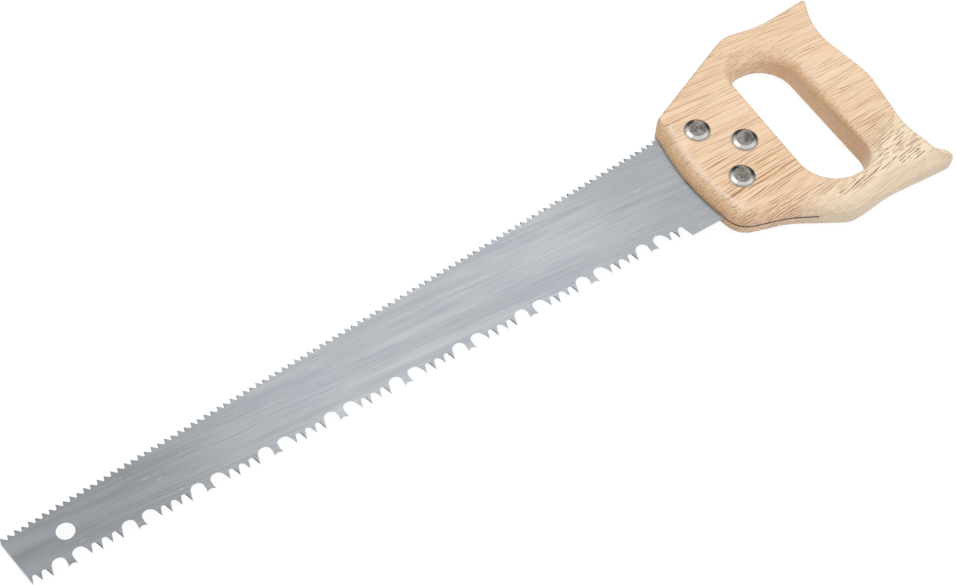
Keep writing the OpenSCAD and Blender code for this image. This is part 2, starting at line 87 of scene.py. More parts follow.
# Blade
# One plate of carbon steel, ground and polished lengthwise, so fine scratches run from toe to
# handle. Groups of coarse lance teeth are cut on one edge and fine teeth on the other, and the
# filed faces of the teeth are rougher than the polished flat, with painted shade on some and a
# painted highlight on others.
class Wire:
    """An output socket of a node. Arithmetic on it adds Math nodes to the same tree."""

    def __init__(self, nodes, socket):
        self.nodes = nodes
        self.socket = socket

    def maths(self, operation, first, second=0.0):
        return self.nodes.add("ShaderNodeMath", {"operation": operation}, {0: first, 1: second})

    def __add__(self, other):
        return self.maths("ADD", self, other)

    def __radd__(self, other):
        return self.maths("ADD", other, self)

    def __sub__(self, other):
        return self.maths("SUBTRACT", self, other)

    def __rsub__(self, other):
        return self.maths("SUBTRACT", other, self)

    def __mul__(self, other):
        return self.maths("MULTIPLY", self, other)

    def __rmul__(self, other):
        return self.maths("MULTIPLY", other, self)

    def size(self):
        """The number without its sign."""
        return self.maths("ABSOLUTE", self)

    def lines(self, in_a_metre, width):
        """1 on evenly spaced lines of the given width, as a share of their spacing, else 0."""
        from_line = (self.maths("FRACT", self * in_a_metre) - 0.5).size()
        return 1 - from_line.ramp(width * 0.25, width * 0.75)

    def ramp(self, low, high):
        """0 at low, 1 at high, and smooth between them."""
        return self.nodes.add(
            "ShaderNodeMapRange",
            {"interpolation_type": "SMOOTHSTEP"},
            {"Value": self, "From Min": low, "From Max": high},
        )


class Nodes:
    """A node tree that is written as expressions."""

    def __init__(self, tree):
        self.tree = tree

    def add(self, kind, settings, sockets, output=0):
        """Adds a node: its settings first, then its sockets, by name or number."""
        node = self.tree.nodes.new(kind)
        for name, value in settings.items():
            setattr(node, name, value)
        for name, value in sockets.items():
            if isinstance(value, Wire):
                self.tree.links.new(value.socket, node.inputs[name])
            else:
                node.inputs[name].default_value = value
        return Wire(self, node.outputs[output])


class Finish(Nodes):
    """A material with one Principled shader, and the nodes that vary it."""

    def __init__(self, name, **constants):
        self.material = bpy.data.materials.new(name)
        self.material.use_nodes = True
        super().__init__(self.material.node_tree)
        self.shader = self.tree.nodes["Principled BSDF"]
        for socket, value in constants.items():
            self.shader.inputs[socket.replace("_", " ")].default_value = value
        self.here = self.add("ShaderNodeTexCoord", {}, {}, "Object")
        self.x, self.y, self.z = (
            self.add("ShaderNodeSeparateXYZ", {}, {"Vector": self.here}, axis) for axis in "XYZ"
        )
        facing = self.add("ShaderNodeNewGeometry", {}, {}, "True Normal")
        self.facing_x, self.facing_y, self.facing_z = (
            self.add("ShaderNodeSeparateXYZ", {}, {"Vector": facing}, axis) for axis in "XYZ"
        )

    def noise(self, scale, turn=0.0, detail=2.0, rough=0.5, shift=(0, 0, 0), at=None):
        """Noise with so many waves in a metre along each axis, turned about Z."""
        place = self.add(
            "ShaderNodeMapping",
            {"vector_type": "POINT"},
            {"Vector": at or self.here, "Location": shift, "Rotation": (0, 0, turn)},
        )
        place = self.add(
            "ShaderNodeVectorMath", {"operation": "MULTIPLY"}, {0: place, 1: scale}
        )
        return self.add(
            "ShaderNodeTexNoise",
            {"noise_dimensions": "3D"},
            {"Vector": place, "Scale": 1.0, "Detail": detail, "Roughness": rough},
        )

    def mix(self, share, first, second):
        """Two colours mixed by a share from 0 to 1."""
        return self.add(
            "ShaderNodeMix",
            {"data_type": "RGBA", "clamp_factor": True},
            {0: share, 6: first, 7: second},
            2,
        )

    def coated(self, tone, *coats):
        """A colour under coats of others, each laid on with its own share from 0 to 1."""
        for share, coat in coats:
            tone = self.mix(share, tone, coat)
        return tone

    def feed(self, socket, wire):
        """Links a value or a colour to a socket of the shader."""
        self.tree.links.new(wire.socket, self.shader.inputs[socket])

    def bump(self, height, distance, strength):
        """Makes the surface look raised where the height is above 0."""
        relief = {"Height": height, "Distance": distance, "Strength": strength}
        self.feed("Normal", self.add("ShaderNodeBump", {}, relief))


def colour(red, green, blue):
    """A colour as it shows on a screen, 0 to 255, turned into Blender's linear colour."""
    shown = [value / 255 for value in (red, green, blue)]
    linear = [s / 12.92 if s <= 0.04045 else ((s + 0.055) / 1.055) ** 2.4 for s in shown]
    return (*linear, 1.0)


blade_steel = Finish("blade_steel", Metallic=1.0)

# The polish: hair lines, streaks and wide bands along the blade, soft clouds, and a few long
# scratches and small pits
brush_turn = math.radians(4)
scratch_turn = math.radians(-9)
hair_lines = blade_steel.noise((34, 1500, 200), brush_turn, detail=3)
brushing = blade_steel.noise((11, 640, 60), brush_turn, detail=4, rough=0.65)
wide_bands = blade_steel.noise((4, 95, 20), brush_turn, detail=2)
clouds = blade_steel.noise((16, 40, 10), detail=3)
scratches = blade_steel.noise((75, 1300, 10), scratch_turn, detail=1).ramp(0.71, 0.76)
pits = blade_steel.noise((900, 900, 200), detail=1).ramp(0.74, 0.80)
streaks = hair_lines * 0.45 + brushing * 0.55
tone_share = streaks.ramp(0.36, 0.62) * 0.7 + clouds.ramp(0.35, 0.65) * 0.3

# Tones along the blade: a bright line on the slanted end of the toe, and a duller fine edge beside
# the toe. The dark toe, and the bright middle that grows duller again towards the handle, are
# painted reflection of the room that the blade mirrors.
toe_reach = 31 * mm
toe_lean = math.radians(7.3)
from_toe = blade_steel.x + toe_reach + blade_steel.y * math.tan(toe_lean)
toe_line = 1 - from_toe.ramp(0.2 * mm, 0.7 * mm)
painted_dark_toe = 1 - blade_steel.x.ramp(-30 * mm, 60 * mm)
above_fine_line = blade_steel.y - blade_steel.x * 0.02
beside_toe = 1 - blade_steel.x.ramp(50 * mm, 160 * mm)
near_fine_edge = above_fine_line.ramp(10 * mm, 24 * mm) * beside_toe
painted_dim_near_handle = blade_steel.x.ramp(310 * mm, 410 * mm)
painted_bright_middle = blade_steel.x.ramp(35 * mm, 170 * mm) * (1 - painted_dim_near_handle * 0.45)

# Filed faces of the teeth stand steep to the flat. Those that look towards the toe get painted
# shade, more so on the fine teeth, and those that look towards the handle get a painted highlight
tilt = blade_steel.facing_z.size()
steep = tilt.ramp(0.10, 0.25) * (1 - tilt.ramp(0.6, 0.95))
on_fine_teeth = 0.3 + blade_steel.y.ramp(-2 * mm, 2 * mm) * 0.7
painted_facet_shade = steep * blade_steel.facing_x.ramp(0.15, -0.35) * on_fine_teeth
painted_facet_highlight = steep * blade_steel.facing_x.ramp(0.1, 0.5)

# Painted shade on the blade where it goes into the handle, whose front is a shallow arc there
arc_nearest_toe = 408.1 * mm
arc_middle = 8.5 * mm
handle_arc = (blade_steel.y - arc_middle).size() * 0.2 + arc_nearest_toe
painted_gap_shade = (blade_steel.x - handle_arc).ramp(-0.8 * mm, 0.4 * mm)

polished = blade_steel.mix(tone_share, colour(138, 141, 145), colour(162, 166, 170))
# The brighter steel of the painted reflection on the middle of the blade
painted_bright_tone = blade_steel.mix(tone_share, colour(173, 181, 188), colour(207, 210, 213))
steel_tone = blade_steel.coated(
    polished,
    (painted_dark_toe * 0.55, colour(129, 130, 135)),
    (near_fine_edge * 0.35, colour(127, 132, 136)),
    (painted_bright_middle, painted_bright_tone),
    (wide_bands.ramp(0.6, 0.36) * 0.4, colour(167, 173, 179)),
    (scratches * 0.8 + toe_line * 0.45, colour(212, 213, 213)),
    (pits * 0.4, colour(101, 103, 107)),
    (painted_facet_shade * 0.85, colour(70, 72, 76)),
    (painted_facet_highlight * 0.7, colour(210, 211, 212)),
    (painted_gap_shade * 0.7, colour(69, 62, 55)),
)
blade_steel.feed("Base Color", steel_tone)
blade_steel.feed(
    "Roughness",
    0.27 + streaks.ramp(0.35, 0.65) * 0.08 + clouds.ramp(0.4, 0.62) * 0.05 + steep * 0.1,
)
blade_steel.bump(streaks + scratches * 0.4 - pits * 0.5, 0.05 * mm, 0.35)

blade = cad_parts["blade"]
blade.data.materials.clear()
blade.data.materials.append(blade_steel.material)


# Handle
# One piece of pale open-pored hardwood, sawn from a board, shaped and sanded, with a thin
# satin lacquer. The kerf for the blade is sawn into its front, and three bolts pass through.
handle_low, handle_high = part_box("handle")
handle_front = 406 * mm
handle_half = handle_high.z

# The outline's sizes are in millimetres, from the blade's middle line at the handle's front. An
# edge is how far its rounding reaches inwards, and how far down from the flat face.
handle_len = 136.4
handle_up = 75
handle_down = 58.2
guard_len = 61.8
opening_w = 40.2
opening_above = 16
opening_below = 16.4
low_waist = handle_len - 5.9
top_waist = handle_len - 8.7
soft = (8, 8)
under = (8.4, 7.4)
crisp = (1.5, 1.5)
guard_edge = (1.4, 1.4)
grip_edge = (6.5, 6.5)
crown_edge = (10.5, 8.5)
horn_edge = (1.9, 8)


def part_of(edge, share):
    """An edge of the same shape, at a share of its size."""
    return (edge[0] * share, edge[1] * share)


# Each corner has its place, its radius, and the edges with which its arc begins and ends
handle_corners = [
    (9.2, 25.2 - handle_down, 16, soft, soft),
    (39.5, 16 - handle_down, 60, soft, soft),
    (71, -handle_down - 1.4, 17, soft, under),
    (104.5, -handle_down, 100, under, under),
    (low_waist + 6.5, -handle_down - 1.6, 60, part_of(under, 0.8), part_of(under, 0.8)),
    (low_waist + 20.6, -handle_down - 2.1, 2.4, horn_edge, part_of(crisp, 0.8)),
    (low_waist + 7.7, 7.2 - handle_down, 14, crisp, crisp),
    (low_waist, 23.8 - handle_down, 50, crisp, crisp),
    (handle_len, 12.5, 40, crisp, crisp),
    (top_waist, handle_up - 20, 45, crisp, crisp),
    (top_waist + 9.5, handle_up + 2.3, 1.6, part_of(crisp, 0.55), part_of(crisp, 0.55)),
    (handle_len - 35, handle_up, 80, crisp, crisp),
    (77, handle_up + 4.6, 22, crisp, crisp),
    (40, handle_up - 11.5, 150, crisp, crisp),
    (6.4, handle_up - 26, 8.5, crisp, soft),
    (0, 8.5, 140, soft, soft),
]
opening_back = guard_len + opening_w
opening_top = handle_up - opening_above
opening_low = opening_below - handle_down
opening_corners = [
    (guard_len, opening_low, 24, guard_edge, guard_edge),
    (opening_back + 1, opening_low, 15, part_of(grip_edge, 0.3), part_of(grip_edge, 0.55)),
    (opening_back - 2, opening_top - 2, 21, grip_edge, crown_edge),
    (guard_len, opening_top + 1, 15, crown_edge, guard_edge),
]


def rounded_outline(corners, arc_step, longest):
    """Points round the outline in millimetres, with the edge that each one has."""
    points = []
    edges = []
    count = len(corners)
    for i, (x, y, radius, edge, edge_end) in enumerate(corners):
        here = np.array((x, y))
        before = np.array(corners[i - 1][:2]) - here
        after = np.array(corners[(i + 1) % count][:2]) - here
        before = before / np.linalg.norm(before)
        after = after / np.linalg.norm(after)
        half = math.acos(before @ after) / 2
        middle = before + after
        centre = here + middle / np.linalg.norm(middle) * radius / math.sin(half)
        start = here + before * radius / math.tan(half) - centre
        stop = here + after * radius / math.tan(half) - centre
        first = math.atan2(start[1], start[0])
        sweep = (math.atan2(stop[1], stop[0]) - first + math.pi) % (2 * math.pi) - math.pi
        steps = max(2, math.ceil(abs(sweep) / arc_step), math.ceil(radius * abs(sweep) / longest))
        for k in range(steps + 1):
            share = k / steps
            angle = first + sweep * share
            points.append(centre + radius * np.array((math.cos(angle), math.sin(angle))))
            edges.append([e + (f - e) * share for e, f in zip(edge, edge_end)])
    return np.array(points), np.array(edges)


def divided(points, edges, longest):
    """The same outline, with its straight stretches divided as well."""
    new_points = []
    new_edges = []
    for i in range(len(points)):
        following = (i + 1) % len(points)
        steps = max(1, math.ceil(np.linalg.norm(points[following] - points[i]) / longest))
        for k in range(steps):
            share = k / steps
            new_points.append(points[i] + (points[following] - points[i]) * share)
            new_edges.append(edges[i] + (edges[following] - edges[i]) * share)
    return np.array(new_points), np.array(new_edges)


def outward_steps(points):
    """Mitred steps outwards from an anticlockwise outline."""
    along = np.roll(points, -1, axis=0) - points
    along = along / np.linalg.norm(along, axis=1)[:, None]
    after = np.column_stack((along[:, 1], -along[:, 0]))
    before = np.roll(after, 1, axis=0)
    return (before + after) / (1 + (before * after).sum(axis=1))[:, None]


# A broad edge is cut flatter than a quarter round on the side with the bolt heads. On the
# other side it loses a share of what it has over a plain edge, and less of it near the blade.
plain_edge = 2.0
edge_flatness = 0.06
back_cut_from = (35, 75)
back_cut_share = (0.3, 0.6)
arc_step = math.radians(4)
longest_on_arc = 1.5
longest_on_line = 2.0


def edge_rings(corners, way, ring_count):
    """Rings of points in millimetres, from the back face round the edge to the front face.

    The way is -1 where the edge lies inside its outline, and 1 round an opening.
    """
    points, edges = rounded_outline(corners, arc_step, longest_on_arc)
    points, edges = divided(points, edges, longest_on_line)
    outward = outward_steps(points)
    half = handle_half / mm
    rings = []
    for side in (-1, 1):
        sizes = edges
        power = 1 + edge_flatness * edges
        if side < 0:
            back_cut = np.interp(points[:, :1], back_cut_from, back_cut_share)
            sizes = edges - (edges - plain_edge).clip(min=0) * back_cut
            power = np.ones_like(edges)
        for k in range(ring_count + 1):
            angle = math.pi / 2 * (k if side > 0 else ring_count - k) / ring_count
            inwards = sizes * (1 - abs(math.cos(angle)) ** power)
            plan = points + outward * inwards[:, :1] * way
            height = side * (half - sizes[:, 1] * (1 - math.sin(angle) ** power[:, 1]))
            rings.append(np.column_stack((plan, height)))
    return rings


def in_frame(point):
    """A point of the handle's outline, in metres in the model's frame."""
    return Vector((handle_front + point[0] * mm, point[1] * mm, point[2] * mm))


def fill_between(bm, outer, inner):
    """Makes faces between two closed loops of vertices in one plane."""
    edges = []
    for loop in (outer, inner):
        for i, vertex in enumerate(loop):
            other = loop[(i + 1) % len(loop)]
            edges.append(bm.edges.get((vertex, other)) or bm.edges.new((vertex, other)))
    bmesh.ops.triangle_fill(bm, use_beauty=True, use_dissolve=False, edges=edges)


edge_steps = 10
bm = bmesh.new()
loops = {}
for name, corners, way in (("outer", handle_corners, -1), ("inner", opening_corners, 1)):
    rings = [
        [bm.verts.new(in_frame(point)) for point in ring]
        for ring in edge_rings(corners, way, edge_steps)
    ]
    for low, high in zip(rings, rings[1:]):
        for i in range(len(low)):
            j = (i + 1) % len(low)
            quad = (low[i], low[j], high[j], high[i])
            bm.faces.new(quad if way < 0 else quad[::-1])
    loops[name] = rings
fill_between(bm, loops["outer"][0], loops["inner"][0])
fill_between(bm, loops["outer"][-1], loops["inner"][-1])
bmesh.ops.remove_doubles(bm, verts=bm.verts[:], dist=1e-6)
bmesh.ops.recalc_face_normals(bm, faces=bm.faces[:])


def divide_at(bm, place, square_to):
    """Adds edges where a plane crosses the mesh, so that the mesh can bend there."""
    bmesh.ops.bisect_plane(
        bm,
        geom=bm.verts[:] + bm.edges[:] + bm.faces[:],
        dist=1e-7,
        plane_co=place,
        plane_no=square_to,
    )


def smooth_share(value, low, high):
    """0 at low, 1 at high, and smooth between them."""
    share = min(1.0, max(0.0, (value - low) / (high - low)))
    return share * share * (3 - 2 * share)


# The lower side of the rear horn slopes down from an arris that runs out to its tip, steeper
# the further it is from the arris
arris_from = Vector((handle_front + 96 * mm, -49.7 * mm, 0))
arris_to = Vector((handle_front + 141 * mm, -54.5 * mm, 0))
arris_way = (arris_to - arris_from).normalized()
below_arris = Vector((arris_way.y, -arris_way.x, 0))
slope_from = handle_front + 80 * mm
slope_over = 20 * mm
slope_steepness = 0.34
slope_growth = 0.02
slope_deepest = 5.2
slope_row = 1.3
for k in range(8):
    divide_at(bm, arris_from + below_arris * slope_row * k * mm, below_arris)
for k in range(6):
    divide_at(bm, Vector((slope_from + slope_over * k / 5, 0, 0)), Vector((1, 0, 0)))

# The horn's tip has a blunt round nose
nose_from = handle_front + 130 * mm
nose_over = 18 * mm
nose_thinning = 0.1
nose_rounding = 0.3
for level in (-6, -3, 0, 3, 6):
    divide_at(bm, Vector((0, 0, level * mm)), Vector((0, 0, 1)))

for vertex in bm.verts:
    below = max(0.0, (vertex.co - arris_from).dot(below_arris)) / mm
    drop = min(slope_deepest, slope_steepness * below + slope_growth * below * below)
    drop *= smooth_share(vertex.co.x, slope_from, slope_from + slope_over)
    vertex.co.z *= 1 - drop * mm / handle_half
    past_nose = max(0.0, vertex.co.x - nose_from)
    on_horn = smooth_share(-vertex.co.y, 40 * mm, 52 * mm)
    from_middle = (vertex.co.z / handle_half) ** 2
    vertex.co.x -= past_nose * nose_rounding * from_middle * on_horn
    vertex.co.z *= 1 - nose_thinning * smooth_share(past_nose, 0, nose_over) * on_horn


def piece_from(name, bm):
    """An object at the origin made from a bmesh, which is then freed."""
    mesh = bpy.data.meshes.new(name)
    bm.to_mesh(mesh)
    bm.free()
    piece = bpy.data.objects.new(name, mesh)
    bpy.context.scene.collection.objects.link(piece)
    return piece


def settled(piece):
    """Turns what the piece's modifiers make into its own plain mesh, and removes them."""
    graph = bpy.context.evaluated_depsgraph_get()
    result = bpy.data.meshes.new_from_object(piece.evaluated_get(graph))
    piece.modifiers.clear()
    piece.data = result
    return result


handle = piece_from("wooden_handle", bm)

# The kerf and the stepped bolt holes are cut through it
kerf_t = 1.2 * mm
kerf_len = 53.6 * mm
past = 5 * mm
bolt_places = []
for name in ("upper_bolt", "rear_bolt", "lower_bolt"):
    low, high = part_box(name)
    bolt_places.append((low + high) / 2)
shank_hole_d = 5.2 * mm
barrel_hole_d = 7.0 * mm
barrel_hole_end = -1.5 * mm
cuts = []
for at in bolt_places:
    for diameter, top in ((shank_hole_d, handle_half + past), (barrel_hole_d, barrel_hole_end)):
        bottom = -handle_half - past
        cut = bmesh.new()
        middle = Vector((at.x, at.y, (bottom + top) / 2))
        bmesh.ops.create_cone(
            cut,
            cap_ends=True,
            segments=48,
            radius1=diameter / 2,
            radius2=diameter / 2,
            depth=top - bottom,
            matrix=Matrix.Translation(middle),
        )
        cuts.append(piece_from("hole_cut", cut))
cut = bmesh.new()
kerf_size = Vector((kerf_len + past, 4 * (handle_high.y - handle_low.y), kerf_t))
kerf_middle = Vector((handle_front - past + kerf_size.x / 2, 0, 0))
bmesh.ops.create_cube(
    cut, size=1.0, matrix=Matrix.Translation(kerf_middle) @ Matrix.Diagonal((*kerf_size, 1))
)
cuts.append(piece_from("kerf_cut", cut))
for cut in cuts:
    modifier = handle.modifiers.new("cut", "BOOLEAN")
    modifier.operation = "DIFFERENCE"
    modifier.solver = "EXACT"
    modifier.object = cut
handle_mesh = settled(handle)
for cut in cuts:
    bpy.data.objects.remove(cut)
handle_mesh.polygons.foreach_set("use_smooth", [True] * len(handle_mesh.polygons))
handle_mesh.set_sharp_from_angle(angle=math.radians(40))
weighted = handle.modifiers.new("normals", "WEIGHTED_NORMAL")
weighted.keep_sharp = True
handle_mesh = settled(handle)

wood = Finish("handle_wood", Coat_Weight=0.38, Coat_Roughness=0.24)

# The grain runs along the handle. Its lines draw together a little towards the rear, so that
# they lie steeper near the lower horn, where the rear pores have a slant of their own
past_front = wood.x - handle_front
grain_across = wood.y + past_front * (wood.y * 1.9 - 0.035)
grain_place = wood.add(
    "ShaderNodeCombineXYZ", {}, {"X": wood.x, "Y": grain_across, "Z": wood.z}
)
rear_turn = math.radians(-10)
rear_across = wood.y * math.cos(rear_turn) + wood.x * math.sin(rear_turn)
layers_lean = wood.z * 0.6

# Tones of the bare wood: soft bands, two hues, pale blotches and fine fibres, with creamier
# wood at the lower rear
wander = wood.noise((28, 60, 30), detail=2)
cream_side = past_front * 0.35 - wood.y
cream = (cream_side + (wander - 0.5) * 0.03).ramp(50 * mm, 76 * mm)
soft_bands = wood.noise((5, 75, 40), detail=1, at=grain_place)
hues = wood.noise((14, 40, 20), detail=2, shift=(0.4, 0.2, 0), at=grain_place)
blotches = wood.noise((16, 34, 20), detail=2, at=grain_place)
fibres = wood.noise((40, 1500, 1200), detail=3, at=grain_place)

# Which way the surface faces: to the ends of the grain, flat, just off the flat on the side
# with the bolt heads, where a painted highlight lightens the arris beside the blade, or further
# round
end_grain = wood.facing_x.size().ramp(0.45, 0.95)
flat = wood.facing_z.size().ramp(0.93, 0.99)
rolling = wood.facing_z.ramp(0.74, 0.88) * (1 - wood.facing_z.ramp(0.94, 0.985))
near_front = 1 - past_front.ramp(30 * mm, 90 * mm) * 0.7
painted_arris_highlight = rolling * wood.facing_x.ramp(-0.12, -0.4) * near_front
curved = (1 - flat) * wood.facing_z.ramp(0.15, 0.45)

# Open pores lie in the layers of the wood as broken lines: thin ones all over, thick ones in
# the creamy wood, and their ends as short marks on the curved sides
sway = (wood.noise((20, 150, 90), detail=2, shift=(0.3, 0.1, 0), at=grain_place) - 0.5) * 0.006
long_breaks = wood.noise((34, 420, 330), detail=1, shift=(0.6, 0.5, 0), at=grain_place)
short_breaks = wood.noise((60, 600, 480), detail=1, shift=(0.1, 0.8, 0), at=grain_place)
rear_breaks = wood.noise((165, 600, 500), rear_turn, detail=1, shift=(0.7, 0.4, 0))
layers = grain_across + layers_lean + sway
rear_layers = rear_across + layers_lean + sway * 0.7
long_pores = layers.lines(470, 0.26) * long_breaks.ramp(0.42, 0.58)
short_pores = layers.lines(790, 0.36) * short_breaks.ramp(0.44, 0.6)
thin_pores = (long_pores + short_pores * 0.6) * (1 - end_grain * 0.5) * (1 - cream * 0.7)
thick_pores = rear_layers.lines(650, 0.38) * rear_breaks.ramp(0.43, 0.54) * cream
pore_ends = wood.noise((420, 950, 750), detail=1, shift=(0.2, 0.9, 0)).ramp(0.57, 0.64)
pore_strength = 0.55 + wood.y.ramp(20 * mm, -20 * mm) * 0.4

# Painted shade: the walls inside the kerf slot are painted a dark brown
in_kerf = 1 - wood.z.size().ramp(kerf_t / 2 - 0.05 * mm, kerf_t / 2 + 0.15 * mm)
painted_kerf_shade = in_kerf * (1 - past_front.ramp(kerf_len - 0.1 * mm, kerf_len + 0.6 * mm))
pore_brown = colour(176, 126, 80)
wood_tone = wood.coated(
    wood.mix(soft_bands.ramp(0.34, 0.68) * 0.5, colour(246, 217, 184), colour(232, 195, 156)),
    (hues.ramp(0.5, 0.7) * 0.3, colour(240, 200, 172)),
    (hues.ramp(0.5, 0.3) * 0.3, colour(246, 215, 166)),
    (blotches.ramp(0.5, 0.72) * 0.35, colour(248, 222, 188)),
    (cream * 0.8, colour(246, 229, 202)),
    (fibres.ramp(0.42, 0.68) * 0.2, colour(212, 168, 124)),
    (end_grain * 0.62, colour(222, 175, 124)),
    (thin_pores * pore_strength, pore_brown),
    (thick_pores * (0.1 + flat * 0.7), colour(138, 92, 52)),
    (pore_ends * curved * (1 - cream) * 0.3, pore_brown),
    (painted_arris_highlight * 0.42, colour(252, 233, 214)),
    (painted_kerf_shade * 0.85, colour(88, 56, 34)),
)
wood.feed("Base Color", wood_tone)
pore_depth = thin_pores + thick_pores
wood.feed("Roughness", 0.40 + fibres * 0.12 + pore_depth * 0.2)
wood.bump(fibres * 0.25 - pore_depth, 0.12 * mm, 0.5)
handle_mesh.materials.clear()
handle_mesh.materials.append(wood.material)
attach(handle, "root")
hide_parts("handle")


# Bolts
# Three turned steel bolts, bright nickel plated. Each head has a thin flange, a polished bevel
# and a flat disc whose plating is dull and mottled and painted dark as a reflection, with painted
# shade in the crease above the flange, and its shank passes through the blade.
class Turning(Nodes):
    """A Geometry Nodes tree for turned pieces, with its sizes as named inputs."""

    def __init__(self, name, sizes):
        super().__init__(bpy.data.node_groups.new(name, "GeometryNodeTree"))
        sockets = self.tree.interface
        sockets.new_socket("Places", in_out="INPUT", socket_type="NodeSocketGeometry")
        self.values = {}
        for size, value in sizes.items():
            made = sockets.new_socket(size, in_out="INPUT", socket_type="NodeSocketFloat")
            self.values[made.identifier] = value
        sockets.new_socket("Pieces", in_out="OUTPUT", socket_type="NodeSocketGeometry")
        self.start = self.tree.nodes.new("NodeGroupInput")
        self.end = self.tree.nodes.new("NodeGroupOutput")

    def __getitem__(self, name):
        return Wire(self, self.start.outputs[name])

    def turned(self, profile, softened, sides):
        """A closed solid turned about Z from (radius, height) pairs, with its edges softened."""
        line = self.add("GeometryNodeMeshLine", {}, {"Count": len(profile)})
        chooser = self.tree.nodes.new("GeometryNodeIndexSwitch")
        chooser.data_type = "VECTOR"
        while len(chooser.index_switch_items) < len(profile):
            chooser.index_switch_items.new()
        index = self.add("GeometryNodeInputIndex", {}, {})
        self.tree.links.new(index.socket, chooser.inputs[0])
        for i, (radius, height) in enumerate(profile):
            point = self.add("ShaderNodeCombineXYZ", {}, {"X": radius, "Y": height * -1.0})
            self.tree.links.new(point.socket, chooser.inputs[i + 1])
        chosen = Wire(self, chooser.outputs[0])
        placed = self.add("GeometryNodeSetPosition", {}, {"Geometry": line, "Position": chosen})
        outline = self.add("GeometryNodeMeshToCurve", {}, {0: placed})
        outline = self.add(
            "GeometryNodeFilletCurve",
            {"mode": "POLY"},
            {"Curve": outline, "Radius": softened, "Count": 3, "Limit Radius": True},
        )
        # The path round the axis is tiny, so that the profile alone gives the radii
        ring = self.add(
            "GeometryNodeCurvePrimitiveCircle", {}, {"Resolution": sides, "Radius": 1e-6}
        )
        solid = self.add(
            "GeometryNodeCurveToMesh", {}, {"Curve": ring, "Profile Curve": outline}
        )
        return self.add("GeometryNodeMergeByDistance", {}, {0: solid, "Distance": 1e-5})

    def finish(self, solid, material):
        """Puts the solid on each place, turned by that place's angle, and gives it its material."""
        turn = self.add(
            "GeometryNodeInputNamedAttribute", {"data_type": "FLOAT"}, {"Name": "turn"}
        )
        spin = self.add("ShaderNodeCombineXYZ", {}, {"Z": turn})
        many = self.add(
            "GeometryNodeInstanceOnPoints",
            {},
            {"Points": self["Places"], "Instance": solid, "Rotation": spin},
        )
        real = self.add("GeometryNodeRealizeInstances", {}, {0: many})
        clad = self.add(
            "GeometryNodeSetMaterial", {}, {"Geometry": real, "Material": material}
        )
        self.tree.links.new(clad.socket, self.end.inputs[0])

    def made(self, name, places, turns):
        """The tree's result on the places, each turned in radians, as one plain mesh object."""
        points = bpy.data.meshes.new(name)
        points.from_pydata([tuple(place) for place in places], [], [])
        angle = points.attributes.new("turn", "FLOAT", "POINT")
        angle.data.foreach_set("value", turns)
        piece = bpy.data.objects.new(name, points)
        modifier = piece.modifiers.new("turning", "NODES")
        modifier.node_group = self.tree
        for identifier, value in self.values.items():
            modifier[identifier] = value
        bpy.context.scene.collection.objects.link(piece)
        mesh = settled(piece)
        mesh.polygons.foreach_set("use_smooth", [True] * len(mesh.polygons))
        mesh.set_sharp_from_angle(angle=math.radians(50))
        return piece


def plated(name):
    """Nickel plating, polished on the turned edges, and matt and mottled on the flat disc, which
    has a painted dark reflection, with painted shade in the crease above the flange.
    """
    plating = Finish(name, Metallic=1.0)
    disc = plating.facing_z.size().ramp(0.965, 0.995)
    mottle = plating.noise((260, 300, 200), detail=4, rough=0.7)
    specks = plating.noise((1500, 1500, 900), detail=2)
    # The disc's plating is rougher, and its dark tone is painted reflection
    dull_and_painted_dark = disc * (0.55 + mottle.ramp(0.35, 0.65) * 0.45)
    above_wood = plating.z - handle_half
    # Painted shade in the crease between the flange and the bevel
    painted_groove_shade = above_wood.ramp(0.55 * mm, 0.72 * mm) * (1 - above_wood.ramp(0.85 * mm, 1.05 * mm))
    tone = plating.coated(
        plating.mix(specks.ramp(0.35, 0.7), colour(216, 214, 209), colour(201, 199, 195)),
        (dull_and_painted_dark * 0.94, colour(97, 91, 82)),
        (disc * specks.ramp(0.60, 0.72) * 0.5, colour(77, 73, 69)),
        (painted_groove_shade * 0.6, colour(83, 79, 75)),
    )
    plating.feed("Base Color", tone)
    plating.feed("Roughness", 0.13 + dull_and_painted_dark * 0.26 + specks * 0.05)
    plating.bump(mottle * 0.5 + specks * 0.5, 0.05 * mm, 0.25)
    return plating.material


nickel = plated("nickel_plate")
bolt = Turning(
    "bolt",
    {
        "Head radius": 7.8 * mm,
        "Disc radius": 5.2 * mm,
        "Head height": 2.0 * mm,
        "Flange height": 0.6 * mm,
        "Ledge width": 0.5 * mm,
        "Ledge fall": 0.15 * mm,
        "Shank radius": 2.4 * mm,
        "Shank end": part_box("upper_bolt")[0].z,
        "Handle face": handle_half,
    },
)
face = bolt["Handle face"]
bolt_profile = [
    (0.0, bolt["Shank end"]),
    (bolt["Shank radius"], bolt["Shank end"]),
    (bolt["Shank radius"], face),
    (bolt["Head radius"], face),
    (bolt["Head radius"], face + bolt["Flange height"]),
    (bolt["Head radius"] - bolt["Ledge width"], face + bolt["Flange height"] + bolt["Ledge fall"]),
    (bolt["Disc radius"], face + bolt["Head height"]),
    (0.0, face + bolt["Head height"]),
]
bolt.finish(bolt.turned(bolt_profile, softened=0.1 * mm, sides=72), nickel)
on_axis = [Vector((at.x, at.y, 0)) for at in bolt_places]
bolt_turns = [0.0, 0.9, 2.1]
bolts = bolt.made("handle_bolts", on_axis, bolt_turns)
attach(bolts, "root")
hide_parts("upper_bolt", "rear_bolt", "lower_bolt")


